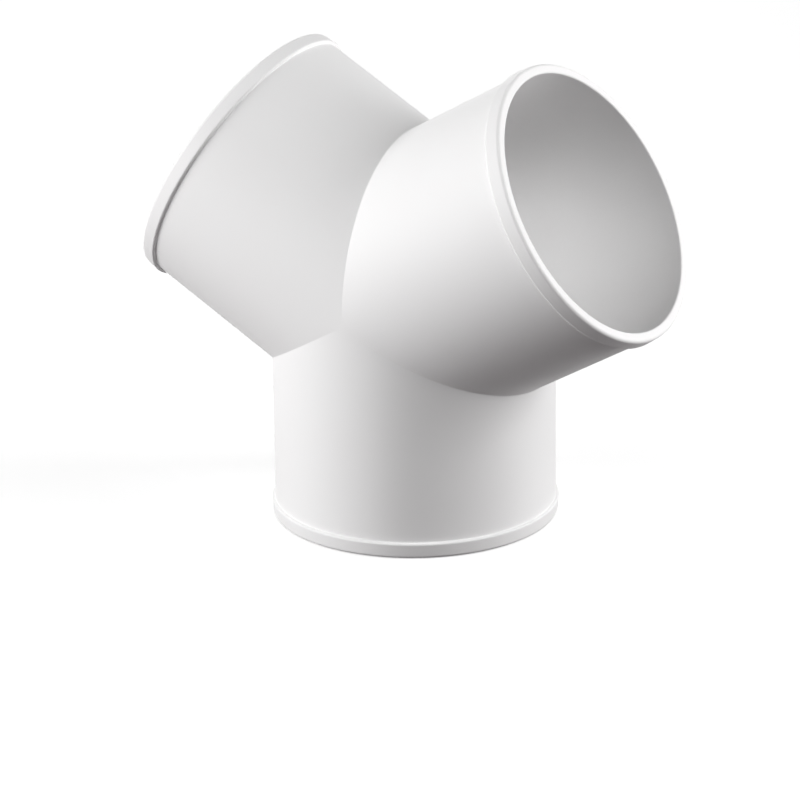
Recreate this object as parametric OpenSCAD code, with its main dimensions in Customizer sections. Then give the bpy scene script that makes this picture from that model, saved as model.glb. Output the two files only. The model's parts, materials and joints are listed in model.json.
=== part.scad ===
// Y-shaped duct connector, moulded in one piece
// Three equal round tubes meet at one point, with their axes in one upright plane.
// It stands on the lower tube, and the origin is the middle of that tube's end face.

/* [Tubes] */
// Outside diameter of each tube, which the flexible duct slides over
tube_d = 124; // [75:1:200]
// Thickness of the moulded wall
wall = 3.5; // [2:0.1:5]
// Straight length of each tube, from the nearest corner of the Y to its end face
straight_len = 66; // [30:1:120]
// Lean of each upper tube from upright
branch_lean = 60; // [40:1:75]

/* [Beaded ends] */
// Width of the raised bead along the tube
bead_w = 7; // [3.5:0.1:12]
// Height of the bead above the tube, which keeps a clamp from slipping off
bead_h = 1.5; // [1.5:0.1:4]
// Rounding of the bead's front edge, which leads the duct on
nose_r = 1.6; // [0.2:0.1:2.4]
// Rounding of the bead's rear edge
heel_r = 0.9; // [0.1:0.1:0.9]
// Rounding in the corner between the tube and the bead
foot_r = 0.5; // [0.1:0.1:0.6]
// Rounding of the edge round the bore
lip_r = 0.4; // [0.1:0.1:1]

/* [Colour] */
// Colour of the moulding
shell_colour = "#EDEDED"; // [#EDEDED, #D8D8D8, #3A3A3A]

/* [Hidden] */
// Sides of a drawn circle
$fn = 128;
// Reach of a shape past the face of the solid that it cuts or joins
past = 1;
// Lean of the lower tube from upright, which is straight down
stem_lean = 180;

tube_r = tube_d / 2;
bore_r = tube_r - wall;
bead_r = tube_r + bead_h;

// Two tubes meet on the plane halfway between their axes.
// Their corner lies this far from the meeting point, measured along either axis.
function corner(angle_between) = tube_r / tan(angle_between / 2);

stem_corner = corner(stem_lean - branch_lean);
stem_reach = stem_corner + straight_len;
branch_reach = max(stem_corner, corner(2 * branch_lean)) + straight_len;

// Each tube has its lean from upright and its reach from the meeting point.
tubes = [[stem_lean, stem_reach], [branch_lean, branch_reach], [-branch_lean, branch_reach]];

// Turns a shape that stands on the meeting point to lean along one tube
module aimed(lean) {
  translate([0, 0, stem_reach])
    rotate([0, lean, 0])
      children();
}

// Half section of a round bar that ends in a bead, from the axis outwards
module beaded_section(reach) {
  back_y = reach - bead_w;
  heel_y = back_y + heel_r;
  nose_y = reach - nose_r;
  square([tube_r, nose_y]);
  translate([0, heel_y])
    square([bead_r, nose_y - heel_y]);
  translate([0, back_y])
    square([bead_r - heel_r, heel_r]);
  translate([bead_r - heel_r, heel_y])
    circle(heel_r);
  translate([0, nose_y])
    square([bead_r - nose_r, nose_r]);
  translate([bead_r - nose_r, nose_y])
    circle(nose_r);
  difference() {
    translate([tube_r - past, back_y - foot_r])
      square([foot_r + past, foot_r + past]);
    translate([tube_r + foot_r, back_y - foot_r])
      circle(foot_r);
  }
}

// Half section of the air path, which flares over the rounded lip at the mouth
module bore_section(reach) {
  square([bore_r, reach + past]);
  difference() {
    translate([bore_r - past, reach - lip_r])
      square([lip_r + past, lip_r + past]);
    translate([bore_r + lip_r, reach - lip_r])
      circle(lip_r);
  }
}

module connector_body() {
  color(shell_colour)
    difference() {
      for (t = tubes)
        aimed(t[0])
          rotate_extrude()
            beaded_section(t[1]);
      for (t = tubes)
        aimed(t[0])
          rotate_extrude()
            bore_section(t[1]);
    }
}

connector_body();
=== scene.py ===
# Y-shaped duct connector: the moulding with its finish, and a plain studio to see it in
import json
import math

import bmesh
import bpy
from bpy.props import FloatProperty, FloatVectorProperty, IntProperty, PointerProperty
from mathutils import Matrix, Vector


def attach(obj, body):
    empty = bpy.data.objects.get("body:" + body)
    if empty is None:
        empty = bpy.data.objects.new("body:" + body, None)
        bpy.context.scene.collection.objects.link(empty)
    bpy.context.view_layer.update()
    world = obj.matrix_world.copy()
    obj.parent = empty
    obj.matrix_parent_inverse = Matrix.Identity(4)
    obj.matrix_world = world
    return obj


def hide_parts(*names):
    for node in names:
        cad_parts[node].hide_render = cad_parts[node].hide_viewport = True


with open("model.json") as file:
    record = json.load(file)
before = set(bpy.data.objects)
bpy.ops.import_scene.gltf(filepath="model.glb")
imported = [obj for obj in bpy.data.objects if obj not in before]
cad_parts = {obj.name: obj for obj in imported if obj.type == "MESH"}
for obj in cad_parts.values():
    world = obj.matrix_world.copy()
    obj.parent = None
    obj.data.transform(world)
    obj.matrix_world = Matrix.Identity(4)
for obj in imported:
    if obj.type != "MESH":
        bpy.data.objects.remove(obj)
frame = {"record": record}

bl_info = {
    "name": "Y-Shaped Duct Connector",
    "version": (1, 0, 0),
    "blender": (4, 5, 0),
    "location": "View3D > Sidebar > Duct Connector",
    "description": "Builds a moulded duct connector round its packed model, and a studio to see it in",
    "category": "Object",
}

MM = 0.001
NODE = "connector_body"
BODY = "root"

MOUNTS = {mount["name"]: mount for mount in frame["record"]["mounts"]}
BORES = [MOUNTS[name] for name in ("lower_bore", "right_bore", "left_bore")]
BEAD = MOUNTS["lower_bead"]
# The tubes are spread evenly round their meeting point, so it is the mean of the middles of their bores.
# The lower tube's end face is at height zero, so the meeting point's height is the reach of a tube.
MEETING = sum((Vector(bore["pos_m"]) for bore in BORES), Vector()) / len(BORES)

# Rows of faces along the crease's rounding, along the straight part of a tube and round each small edge
CREASE_ROWS = 4
TUBE_ROWS = 9
EDGE_ROWS = 8
# Points this close together are one point.
WELD_DISTANCE = 0.002 * MM

# Distance between the clouds that the plastic's flow leaves, and how far the roughness swings with them
CLOUD_SIZE = 30 * MM
ROUGHNESS_SWING = 0.03
# Distance between the crests of the moulded skin, and their height
SKIN_SIZE = 1 * MM
SKIN_RELIEF = 0.004 * MM
ABS_IOR = 1.54
# Specular level at which a surface reflects all that its IOR gives
POLISHED_LEVEL = 0.5

# The floor lies this far below the end face that stands on it, so that the two don't share a plane.
FLOOR_DROP = 0.2 * MM


def linear_colour(hex_code):
    """Turns an sRGB hex colour to a linear one, with its alpha"""
    channels = [int(hex_code[i:i + 2], 16) / 255 for i in (1, 3, 5)]
    return [c / 12.92 if c <= 0.04045 else ((c + 0.055) / 1.055) ** 2.4 for c in channels] + [1.0]


def add_node(tree, kind, inputs=None, **settings):
    """Adds a node, sets its options, and gives each input a value or a link from a socket or another node"""
    node = tree.nodes.new(kind)
    for option, value in settings.items():
        setattr(node, option, value)
    for name, value in (inputs or {}).items():
        if isinstance(value, bpy.types.Node):
            value = next(socket for socket in value.outputs if socket.enabled)
        if isinstance(value, bpy.types.NodeSocket):
            tree.links.new(value, node.inputs[name])
        else:
            node.inputs[name].default_value = value
    return node


class DuctConnectorSizes(bpy.types.PropertyGroup):
    """Sizes of the moulding"""

    reach: FloatProperty(
        name="Tube Reach",
        description="From the point where the tubes meet to each end face",
        default=MEETING.z,
        min=0.05,
        precision=4,
        unit="LENGTH",
    )
    bore_radius: FloatProperty(
        name="Bore Radius",
        description="Inside radius of each tube",
        default=BORES[0]["dims"]["r_mm"] * MM,
        min=0.02,
        precision=4,
        unit="LENGTH",
    )
    wall: FloatProperty(
        name="Wall",
        description="Thickness of the moulded wall",
        default=3.5 * MM,
        min=0.001,
        precision=4,
        unit="LENGTH",
    )
    bead_radius: FloatProperty(
        name="Bead Radius",
        description="Outside radius of the raised bead at each end",
        default=BEAD["dims"]["r_mm"] * MM,
        min=0.02,
        precision=4,
        unit="LENGTH",
    )
    bead_taper: FloatProperty(
        name="Bead Taper",
        description="Narrowing of the bead from its rear edge to its end, which leads the duct on",
        default=0.6 * MM,
        min=0,
        precision=4,
        unit="LENGTH",
    )
    nose_radius: FloatProperty(
        name="Nose Rounding",
        description="Rounding of the bead's front edge",
        default=1.6 * MM,
        min=0.0001,
        precision=4,
        unit="LENGTH",
    )
    heel_radius: FloatProperty(
        name="Heel Rounding",
        description="Rounding of the bead's rear edge",
        default=0.9 * MM,
        min=0.0001,
        precision=4,
        unit="LENGTH",
    )
    foot_radius: FloatProperty(
        name="Foot Rounding",
        description="Rounding in the corner between the tube and the bead",
        default=0.5 * MM,
        min=0.0001,
        precision=4,
        unit="LENGTH",
    )
    bead_flat: FloatProperty(
        name="Bead Flat",
        description="Straight part of the bead between its two rounded edges",
        default=BEAD["dims"]["length_mm"] * MM,
        min=0.001,
        precision=4,
        unit="LENGTH",
    )
    lip_radius: FloatProperty(
        name="Lip Rounding",
        description="Rounding of the edge round the bore",
        default=0.8 * MM,
        min=0.0001,
        precision=4,
        unit="LENGTH",
    )
    crease_radius: FloatProperty(
        name="Crease Rounding",
        description="Rounding of the crease where two tubes meet",
        default=1.0 * MM,
        min=0.0001,
        precision=4,
        unit="LENGTH",
    )
    segments: IntProperty(
        name="Segments",
        description="Faces round each tube, a multiple of four so that the tubes meet point to point",
        default=256,
        min=32,
        step=4,
    )


class DuctConnectorFinish(bpy.types.PropertyGroup):
    """Finish of the moulding"""

    colour: FloatVectorProperty(
        name="Colour",
        description="Colour of the plastic",
        default=linear_colour("#F2F2F2"),
        size=4,
        min=0,
        max=1,
        subtype="COLOR",
    )
    shade_colour: FloatVectorProperty(
        name="Shade Colour",
        description="Colour of the faint clouds that the flow of the plastic leaves",
        default=linear_colour("#F1F0F0"),
        size=4,
        min=0,
        max=1,
        subtype="COLOR",
    )
    roughness: FloatProperty(
        name="Roughness",
        description="Mean roughness of the satin surface",
        default=0.58,
        min=0,
        max=1,
        subtype="FACTOR",
    )
    sheen: FloatProperty(
        name="Sheen",
        description="Share of a polished surface's reflection that the fine moulded texture leaves",
        default=0.5,
        min=0,
        max=1,
        subtype="FACTOR",
    )


class DuctConnectorStudio(bpy.types.PropertyGroup):
    """Camera, lamps and floor"""

    view_azimuth: FloatProperty(
        name="View Azimuth",
        description="Turn of the camera round the connector, from straight in front",
        default=math.radians(29.70),
        subtype="ANGLE",
    )
    view_elevation: FloatProperty(
        name="View Elevation",
        description="Height of the camera above the horizon",
        default=math.radians(19.61),
        subtype="ANGLE",
    )
    view_roll: FloatProperty(
        name="View Roll",
        description="Tilt of the camera about its own line of sight",
        default=math.radians(-0.71),
        subtype="ANGLE",
    )
    view_distance: FloatProperty(
        name="View Distance",
        description="From the camera to the point that it looks at",
        default=1.717,
        min=0.3,
        unit="LENGTH",
    )
    view_target: FloatVectorProperty(
        name="View Target",
        description="Point that the camera looks at",
        default=(0.0025, -0.0174, 0.0558),
        subtype="TRANSLATION",
        unit="LENGTH",
    )
    focal_length: FloatProperty(
        name="Focal Length",
        description="Focal length of the camera in millimetres",
        default=177.75,
        min=10,
        unit="CAMERA",
    )
    floor_size: FloatProperty(
        name="Floor Size",
        description="Side of the square floor",
        default=12.0,
        min=1,
        unit="LENGTH",
    )
    floor_colour: FloatVectorProperty(
        name="Floor Colour",
        description="Colour of the floor's paper where it is seen",
        default=linear_colour("#C8C8C8"),
        size=4,
        min=0,
        max=1,
        subtype="COLOR",
    )
    floor_glow: FloatProperty(
        name="Floor Glow",
        description="Strength of the white that is added to the floor where it is seen",
        default=0.6,
        min=0,
    )
    bounce_colour: FloatVectorProperty(
        name="Bounce Colour",
        description="Colour of the floor as it lights the connector from below",
        default=linear_colour("#565052"),
        size=4,
        min=0,
        max=1,
        subtype="COLOR",
    )
    fill: FloatProperty(
        name="Fill",
        description="Strength of the even light from all round",
        default=0.05,
        min=0,
    )


# Softboxes: name, azimuth and elevation in degrees, width and height in metres, and strength.
# Azimuth 0 is straight in front of the connector, and 90 is to its right. Strength 1 looks white.
SOFTBOXES = (
    ("right_softbox", 114, 16, 0.55, 1.0, 11.3),
    ("upper_right_softbox", 100, 47, 0.62, 0.87, 2.2),
    ("left_softbox", -44, 17, 1.35, 0.8, 7.3),
    ("top_softbox", 34, 44, 0.7, 0.6, 2.6),
    ("rear_softbox", 214, 19, 0.28, 1.0, 5),
)
SOFTBOX_DISTANCE = 1.5


def tube_section(tree, size, heel, below):
    """Draws half a section through one tube's wall, from its outside to its inside, round the beaded end"""
    bore = size["Bore Radius"]
    bead = size["Bead Radius"]
    reach = size["Reach"]
    tube = add_node(tree, "ShaderNodeMath", {0: bore, 1: size["Wall"]}, operation="ADD")
    tip = add_node(tree, "ShaderNodeMath", {0: bead, 1: size["Bead Taper"]}, operation="SUBTRACT")

    # Corners of the section as radius, height, rounding and rows of faces to the next corner.
    # The stretch below zero becomes the rounding of the crease.
    corners = (
        (tube, below, 0.0, CREASE_ROWS),
        (tube, 0.0, 0.0, TUBE_ROWS),
        (tube, heel, size["Foot Rounding"], 1),
        (bead, heel, size["Heel Rounding"], 1),
        (tip, reach, size["Nose Rounding"], 1),
        (bore, reach, size["Lip Rounding"], 1),
        (bore, heel, 0.0, TUBE_ROWS),
        (bore, 0.0, 0.0, CREASE_ROWS),
        (bore, below, 0.0, 1),
    )
    index = add_node(tree, "GeometryNodeInputIndex")
    places = add_node(tree, "GeometryNodeIndexSwitch", data_type="VECTOR")
    edges = add_node(tree, "GeometryNodeIndexSwitch", data_type="FLOAT")
    cuts = add_node(tree, "GeometryNodeIndexSwitch", data_type="INT")
    for switch in (places, edges, cuts):
        while len(switch.index_switch_items) < len(corners):
            switch.index_switch_items.new()
        tree.links.new(index.outputs[0], switch.inputs["Index"])
    for i, (radius, height, edge, rows) in enumerate(corners):
        place = add_node(tree, "ShaderNodeCombineXYZ", {"X": radius, "Y": height})
        tree.links.new(place.outputs[0], places.inputs[str(i)])
        if isinstance(edge, bpy.types.NodeSocket):
            tree.links.new(edge, edges.inputs[str(i)])
        cuts.inputs[str(i)].default_value = rows - 1

    points = add_node(tree, "GeometryNodePoints", {"Count": len(corners), "Position": places})
    outline = add_node(tree, "GeometryNodePointsToCurves", {"Points": points})
    kept_cuts = add_node(tree, "GeometryNodeCaptureAttribute", {"Geometry": outline})
    kept_cuts.capture_items.new("INT", "Cuts")
    tree.links.new(cuts.outputs[0], kept_cuts.inputs["Cuts"])
    rounded = add_node(
        tree, "GeometryNodeFilletCurve",
        {"Curve": kept_cuts, "Radius": edges, "Count": EDGE_ROWS - 1}, mode="POLY",
    )
    return add_node(
        tree, "GeometryNodeSubdivideCurve", {"Curve": rounded, "Cuts": kept_cuts.outputs["Cuts"]}
    )


def mitred_place(tree, size, section_point, ring_point, foot, below):
    """Works out where each point of the turned section goes, so that the tube ends on rounded mitres"""
    rounding = size["Crease Rounding"]
    at = add_node(tree, "ShaderNodeSeparateXYZ", {0: section_point}).outputs
    way = add_node(tree, "ShaderNodeSeparateXYZ", {0: ring_point}).outputs

    # Two tubes meet on the plane halfway between them, and this is its angle to a tube's axis.
    half = add_node(tree, "ShaderNodeMath", {0: math.pi, 1: size["Tubes"]}, operation="DIVIDE")
    cos_half = add_node(tree, "ShaderNodeMath", {0: half}, operation="COSINE")
    sin_half = add_node(tree, "ShaderNodeMath", {0: half}, operation="SINE")
    tan_half = add_node(tree, "ShaderNodeMath", {0: half}, operation="TANGENT")

    # The surface turns by this much to meet that plane squarely: not at all at the tube's front and back.
    side = add_node(tree, "ShaderNodeMath", {0: way["X"]}, operation="ABSOLUTE")
    lean = add_node(tree, "ShaderNodeMath", {0: side, 1: cos_half}, operation="MULTIPLY")
    turn = add_node(tree, "ShaderNodeMath", {0: lean}, operation="ARCSINE")
    # It turns evenly over the section's stretch below zero.
    share = add_node(
        tree, "ShaderNodeMath", {0: at["Y"], 1: below}, operation="DIVIDE", use_clamp=True
    )
    turned = add_node(tree, "ShaderNodeMath", {0: turn, 1: share}, operation="MULTIPLY")
    still_to_turn = add_node(tree, "ShaderNodeMath", {0: turn, 1: turned}, operation="SUBTRACT")

    # Along the rounding the surface rises from the tube, and its gap to the plane falls to nothing.
    flatness = add_node(tree, "ShaderNodeMath", {0: turned}, operation="COSINE")
    lift = add_node(tree, "ShaderNodeMath", {0: 1.0, 1: flatness}, operation="SUBTRACT")
    radius = add_node(tree, "ShaderNodeMath", {0: lift, 1: rounding, 2: at["X"]}, operation="MULTIPLY_ADD")
    gap_share = add_node(tree, "ShaderNodeMath", {0: still_to_turn}, operation="SINE")
    gap = add_node(tree, "ShaderNodeMath", {0: gap_share, 1: rounding}, operation="MULTIPLY")
    gap_up = add_node(tree, "ShaderNodeMath", {0: gap, 1: sin_half}, operation="DIVIDE")
    across = add_node(tree, "ShaderNodeMath", {0: radius, 1: side}, operation="MULTIPLY")
    mitre = add_node(tree, "ShaderNodeMath", {0: across, 1: tan_half}, operation="DIVIDE")
    start = add_node(tree, "ShaderNodeMath", {0: mitre, 1: gap_up}, operation="ADD")

    # The straight part runs from there to the foot of the bead, and the bead keeps its heights.
    straight = add_node(
        tree, "ShaderNodeMapRange", {"Value": at["Y"], "From Max": foot, "To Min": start, "To Max": foot}
    )
    height = add_node(tree, "ShaderNodeMath", {0: straight, 1: at["Y"]}, operation="MAXIMUM")
    out_x = add_node(tree, "ShaderNodeMath", {0: radius, 1: way["X"]}, operation="MULTIPLY")
    out_y = add_node(tree, "ShaderNodeMath", {0: radius, 1: way["Y"]}, operation="MULTIPLY")
    return add_node(tree, "ShaderNodeCombineXYZ", {0: out_x, 1: out_y, 2: height})


def tube_tree():
    """Builds the rule: a tube's section is turned round, mitred and set out round the meeting point"""
    tree = bpy.data.node_groups.new("moulded_tubes", "GeometryNodeTree")
    tree.is_modifier = True
    for name in ("Reach", "Bore Radius", "Wall", "Bead Radius", "Bead Taper", "Bead Flat",
                 "Nose Rounding", "Heel Rounding", "Foot Rounding", "Lip Rounding", "Crease Rounding"):
        tree.interface.new_socket(name, in_out="INPUT", socket_type="NodeSocketFloat")
    for name in ("Segments", "Tubes"):
        tree.interface.new_socket(name, in_out="INPUT", socket_type="NodeSocketInt")
    tree.interface.new_socket("Material", in_out="INPUT", socket_type="NodeSocketMaterial")
    tree.interface.new_socket("Geometry", in_out="OUTPUT", socket_type="NodeSocketGeometry")
    size = add_node(tree, "NodeGroupInput").outputs

    # Heights where the bead's nose, flat, heel and foot end, going back from the end face in that order
    reach = size["Reach"]
    nose = add_node(tree, "ShaderNodeMath", {0: reach, 1: size["Nose Rounding"]}, operation="SUBTRACT")
    flat = add_node(tree, "ShaderNodeMath", {0: nose, 1: size["Bead Flat"]}, operation="SUBTRACT")
    heel = add_node(tree, "ShaderNodeMath", {0: flat, 1: size["Heel Rounding"]}, operation="SUBTRACT")
    foot = add_node(tree, "ShaderNodeMath", {0: heel, 1: size["Foot Rounding"]}, operation="SUBTRACT")
    below = add_node(tree, "ShaderNodeMath", {0: size["Crease Rounding"], 1: -1.0}, operation="MULTIPLY")

    # The sweep carries each point's place on the section and on the ring along with it.
    position = add_node(tree, "GeometryNodeInputPosition")
    section = tube_section(tree, size, heel, below)
    kept_section = add_node(tree, "GeometryNodeCaptureAttribute", {"Geometry": section})
    kept_section.capture_items.new("VECTOR", "Section")
    tree.links.new(position.outputs[0], kept_section.inputs["Section"])
    ring = add_node(
        tree, "GeometryNodeCurvePrimitiveCircle", {"Resolution": size["Segments"], "Radius": 1.0}
    )
    kept_ring = add_node(tree, "GeometryNodeCaptureAttribute", {"Geometry": ring})
    kept_ring.capture_items.new("VECTOR", "Ring")
    tree.links.new(position.outputs[0], kept_ring.inputs["Ring"])
    sweep = add_node(
        tree, "GeometryNodeCurveToMesh", {"Curve": kept_ring, "Profile Curve": kept_section}
    )
    place = mitred_place(
        tree, size, kept_section.outputs["Section"], kept_ring.outputs["Ring"], foot, below
    )
    shaped = add_node(tree, "GeometryNodeSetPosition", {"Geometry": sweep, "Position": place})

    # Each tube leans one step further round the meeting point, and the first one points down.
    index = add_node(tree, "GeometryNodeInputIndex")
    step = add_node(tree, "ShaderNodeMath", {0: 2 * math.pi, 1: size["Tubes"]}, operation="DIVIDE")
    lean_round = add_node(tree, "ShaderNodeMath", {0: index, 1: step, 2: math.pi}, operation="MULTIPLY_ADD")
    turn_to = add_node(tree, "ShaderNodeCombineXYZ", {"Y": lean_round})
    meeting = add_node(tree, "ShaderNodeCombineXYZ", {"Z": reach})
    hub = add_node(tree, "GeometryNodePoints", {"Count": size["Tubes"], "Position": meeting})
    set_out = add_node(
        tree, "GeometryNodeInstanceOnPoints", {"Points": hub, "Instance": shaped, "Rotation": turn_to}
    )
    realized = add_node(tree, "GeometryNodeRealizeInstances", {"Geometry": set_out})
    welded = add_node(
        tree, "GeometryNodeMergeByDistance", {"Geometry": realized, "Distance": WELD_DISTANCE}
    )
    # The sweep leaves the faces pointing into the wall.
    outward = add_node(tree, "GeometryNodeFlipFaces", {"Mesh": welded})
    smooth = add_node(tree, "GeometryNodeSetShadeSmooth", {"Geometry": outward})
    painted = add_node(
        tree, "GeometryNodeSetMaterial", {"Geometry": smooth, "Material": size["Material"]}
    )
    add_node(tree, "NodeGroupOutput", {"Geometry": painted})
    return tree


def set_inputs(modifier, values):
    """Gives the inputs of a modifier's node tree their values, by name"""
    for item in modifier.node_group.interface.items_tree:
        if item.item_type == "SOCKET" and item.in_out == "INPUT":
            modifier[item.identifier] = values[item.name]


def check_closed(mesh):
    """Stops the work if a mesh has an open edge or is inside out"""
    probe = bmesh.new()
    probe.from_mesh(mesh)
    open_edges = sum(not edge.is_manifold for edge in probe.edges)
    volume = probe.calc_volume(signed=True)
    probe.free()
    if open_edges or volume <= 0:
        raise RuntimeError(f"{mesh.name} has {open_edges} open edges and a volume of {volume:.6f} m3")


def abs_material(finish):
    """Injection-moulded ABS: an even opaque white with a satin skin, whose highlights have soft edges"""
    material = bpy.data.materials.new("injection_moulded_abs")
    material.use_nodes = True
    tree = material.node_tree
    tree.nodes.clear()
    where = add_node(tree, "ShaderNodeTexCoord").outputs["Object"]

    # Slow clouds, where the melt flowed and cooled unevenly
    flow = add_node(
        tree, "ShaderNodeTexNoise", {"Vector": where, "Scale": 1 / CLOUD_SIZE, "Detail": 3.0}
    )
    tint = add_node(
        tree, "ShaderNodeMix",
        {"Factor": flow.outputs["Fac"], "A": finish.colour, "B": finish.shade_colour}, data_type="RGBA",
    )
    gloss = add_node(
        tree, "ShaderNodeMapRange",
        {
            "Value": flow.outputs["Fac"],
            "To Min": finish.roughness - ROUGHNESS_SWING, "To Max": finish.roughness + ROUGHNESS_SWING,
        },
    )
    # A fine orange-peel skin, which spreads the highlights
    skin = add_node(
        tree, "ShaderNodeTexNoise", {"Vector": where, "Scale": 1 / SKIN_SIZE, "Detail": 2.0}
    )
    relief = add_node(
        tree, "ShaderNodeBump",
        {"Height": skin.outputs["Fac"], "Distance": SKIN_RELIEF, "Strength": 1.0},
    )
    shader = add_node(
        tree, "ShaderNodeBsdfPrincipled",
        {
            "Base Color": tint.outputs["Result"], "Roughness": gloss, "Normal": relief,
            "IOR": ABS_IOR, "Specular IOR Level": finish.sheen * POLISHED_LEVEL,
        },
    )
    add_node(tree, "ShaderNodeOutputMaterial", {"Surface": shader})
    return material


class DUCTCONNECTOR_OT_moulded_shell(bpy.types.Operator):
    """Build the connector's moulded shell with its beaded ends and rounded creases"""

    bl_idname = "duct_connector.moulded_shell"
    bl_label = "Moulded Shell"

    def execute(self, context):
        sizes = context.scene.duct_connector_sizes
        start = bpy.data.meshes.new("start")
        shell = bpy.data.objects.new("moulded_shell", start)
        context.collection.objects.link(shell)
        rule = shell.modifiers.new("Moulded Tubes", "NODES")
        rule.node_group = tube_tree()
        set_inputs(rule, {
            "Reach": sizes.reach,
            "Bore Radius": sizes.bore_radius,
            "Wall": sizes.wall,
            "Bead Radius": sizes.bead_radius,
            "Bead Taper": sizes.bead_taper,
            "Bead Flat": sizes.bead_flat,
            "Nose Rounding": sizes.nose_radius,
            "Heel Rounding": sizes.heel_radius,
            "Foot Rounding": sizes.foot_radius,
            "Lip Rounding": sizes.lip_radius,
            "Crease Rounding": sizes.crease_radius,
            "Segments": sizes.segments,
            "Tubes": len(BORES),
            "Material": abs_material(context.scene.duct_connector_finish),
        })
        # Small rounded edges keep their shading off the broad faces beside them.
        shell.modifiers.new("Weighted Normals", "WEIGHTED_NORMAL")
        graph = context.evaluated_depsgraph_get()
        mesh = bpy.data.meshes.new_from_object(
            shell.evaluated_get(graph), preserve_all_data_layers=True, depsgraph=graph
        )
        mesh.name = "moulded_shell"
        shell.modifiers.clear()
        shell.data = mesh
        bpy.data.meshes.remove(start)
        check_closed(mesh)
        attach(shell, BODY)
        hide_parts(NODE)
        return {"FINISHED"}


def paper_material(studio):
    """Matt paper: it shows white, apart from the connector's own shadow, but lights the connector little"""
    material = bpy.data.materials.new("matt_paper")
    material.use_nodes = True
    tree = material.node_tree
    tree.nodes.clear()
    paper = add_node(tree, "ShaderNodeBsdfDiffuse", {"Color": studio.floor_colour})
    glow = add_node(tree, "ShaderNodeEmission", {"Strength": studio.floor_glow})
    white = add_node(tree, "ShaderNodeAddShader", {0: paper, 1: glow})
    bounce = add_node(tree, "ShaderNodeBsdfDiffuse", {"Color": studio.bounce_colour})
    ray = add_node(tree, "ShaderNodeLightPath").outputs
    seen = add_node(
        tree, "ShaderNodeMath", {0: ray["Is Camera Ray"], 1: ray["Is Glossy Ray"]}, operation="MAXIMUM"
    )
    seen_too = add_node(
        tree, "ShaderNodeMath", {0: seen, 1: ray["Is Transmission Ray"]}, operation="MAXIMUM"
    )
    mixed = add_node(tree, "ShaderNodeMixShader", {0: seen_too, 1: bounce, 2: white})
    add_node(tree, "ShaderNodeOutputMaterial", {"Surface": mixed})
    return material


def studio_world(studio):
    """A weak, even fill from all round"""
    world = bpy.data.worlds.new("studio_fill")
    world.use_nodes = True
    tree = world.node_tree
    tree.nodes.clear()
    fill = add_node(tree, "ShaderNodeBackground", {"Strength": studio.fill})
    add_node(tree, "ShaderNodeOutputWorld", {"Surface": fill})
    return world


def direction(azimuth, elevation):
    """Unit vector towards a place round the connector, with azimuth 0 in front and 90 to the right"""
    level = math.cos(elevation)
    return Vector((math.sin(azimuth) * level, -math.cos(azimuth) * level, math.sin(elevation)))


def add_softbox(collection, name, azimuth, elevation, width, height, strength):
    """Hangs one rectangular softbox that faces the connector's middle"""
    lamp = bpy.data.lights.new(name, "AREA")
    lamp.shape = "RECTANGLE"
    lamp.size = width
    lamp.size_y = height
    # A lamp of this power looks as bright as a white surface of the given strength.
    lamp.energy = strength * math.pi * width * height
    box = bpy.data.objects.new(name, lamp)
    out = direction(math.radians(azimuth), math.radians(elevation))
    box.location = MEETING + out * SOFTBOX_DISTANCE
    box.rotation_euler = (-out).to_track_quat("-Z", "Y").to_euler()
    box.visible_camera = False
    collection.objects.link(box)


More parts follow.
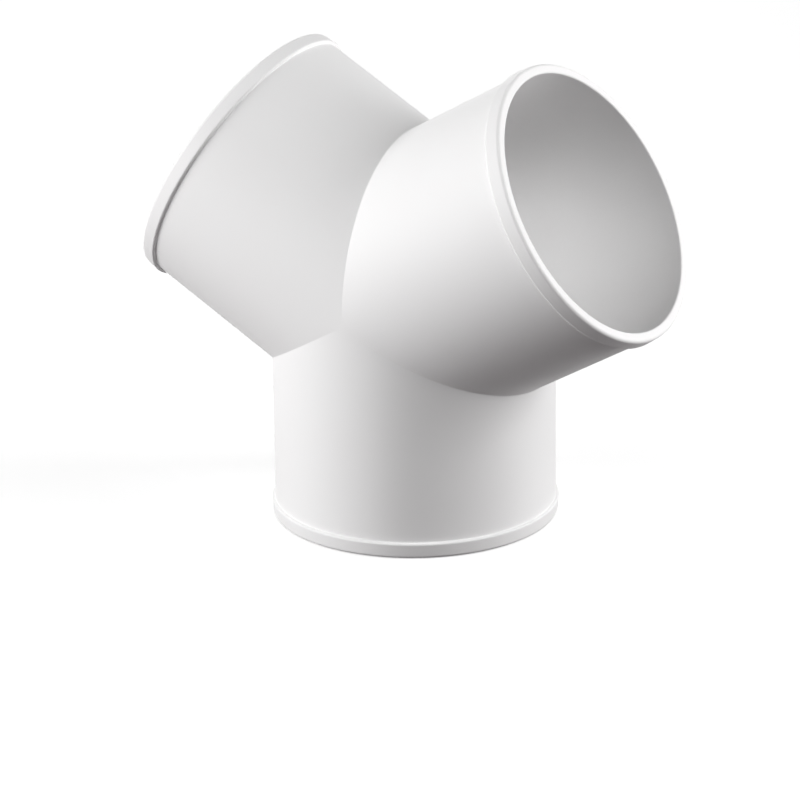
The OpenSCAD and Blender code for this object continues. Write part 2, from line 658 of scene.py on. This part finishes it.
class DUCTCONNECTOR_OT_studio(bpy.types.Operator):
    """Set up the floor, the even fill, the softboxes and the camera"""

    bl_idname = "duct_connector.studio"
    bl_label = "Studio"

    def execute(self, context):
        studio = context.scene.duct_connector_studio
        context.scene.view_settings.view_transform = "Standard"
        context.scene.world = studio_world(studio)

        half = studio.floor_size / 2
        sheet = bpy.data.meshes.new("floor")
        corners = [(x * half, y * half, -FLOOR_DROP) for x, y in ((-1, -1), (1, -1), (1, 1), (-1, 1))]
        sheet.from_pydata(corners, [], [(0, 1, 2, 3)])
        sheet.materials.append(paper_material(studio))
        floor = bpy.data.objects.new("floor", sheet)
        context.collection.objects.link(floor)

        for softbox in SOFTBOXES:
            add_softbox(context.collection, *softbox)

        lens = bpy.data.cameras.new("camera")
        lens.lens = studio.focal_length
        camera = bpy.data.objects.new("camera", lens)
        out = direction(studio.view_azimuth, studio.view_elevation)
        place = Matrix.Translation(Vector(studio.view_target) + out * studio.view_distance)
        aim = (-out).to_track_quat("-Z", "Y").to_matrix().to_4x4()
        camera.matrix_world = place @ aim @ Matrix.Rotation(studio.view_roll, 4, "Z")
        context.collection.objects.link(camera)
        context.scene.camera = camera
        return {"FINISHED"}


class DUCTCONNECTOR_PT_panel(bpy.types.Panel):
    """Sizes, finish and studio of the duct connector"""

    bl_idname = "DUCTCONNECTOR_PT_panel"
    bl_label = "Duct Connector"
    bl_space_type = "VIEW_3D"
    bl_region_type = "UI"
    bl_category = "Duct Connector"

    def draw(self, context):
        scene = context.scene
        for title, group, operator in (
            ("Moulding", scene.duct_connector_sizes, DUCTCONNECTOR_OT_moulded_shell),
            ("Finish", scene.duct_connector_finish, None),
            ("Studio", scene.duct_connector_studio, DUCTCONNECTOR_OT_studio),
        ):
            box = self.layout.box()
            box.label(text=title)
            for name in group.__annotations__:
                box.prop(group, name)
            if operator:
                box.operator(operator.bl_idname)


CLASSES = (
    DuctConnectorSizes,
    DuctConnectorFinish,
    DuctConnectorStudio,
    DUCTCONNECTOR_OT_moulded_shell,
    DUCTCONNECTOR_OT_studio,
    DUCTCONNECTOR_PT_panel,
)


def register():
    for cls in CLASSES:
        bpy.utils.register_class(cls)
    bpy.types.Scene.duct_connector_sizes = PointerProperty(type=DuctConnectorSizes)
    bpy.types.Scene.duct_connector_finish = PointerProperty(type=DuctConnectorFinish)
    bpy.types.Scene.duct_connector_studio = PointerProperty(type=DuctConnectorStudio)


def unregister():
    del bpy.types.Scene.duct_connector_studio
    del bpy.types.Scene.duct_connector_finish
    del bpy.types.Scene.duct_connector_sizes
    for cls in reversed(CLASSES):
        bpy.utils.unregister_class(cls)


def main():
    """Builds the studio and the connector"""
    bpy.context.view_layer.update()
    register()
    bpy.ops.duct_connector.studio()
    bpy.ops.duct_connector.moulded_shell()


if __name__ == "__main__":
    main()
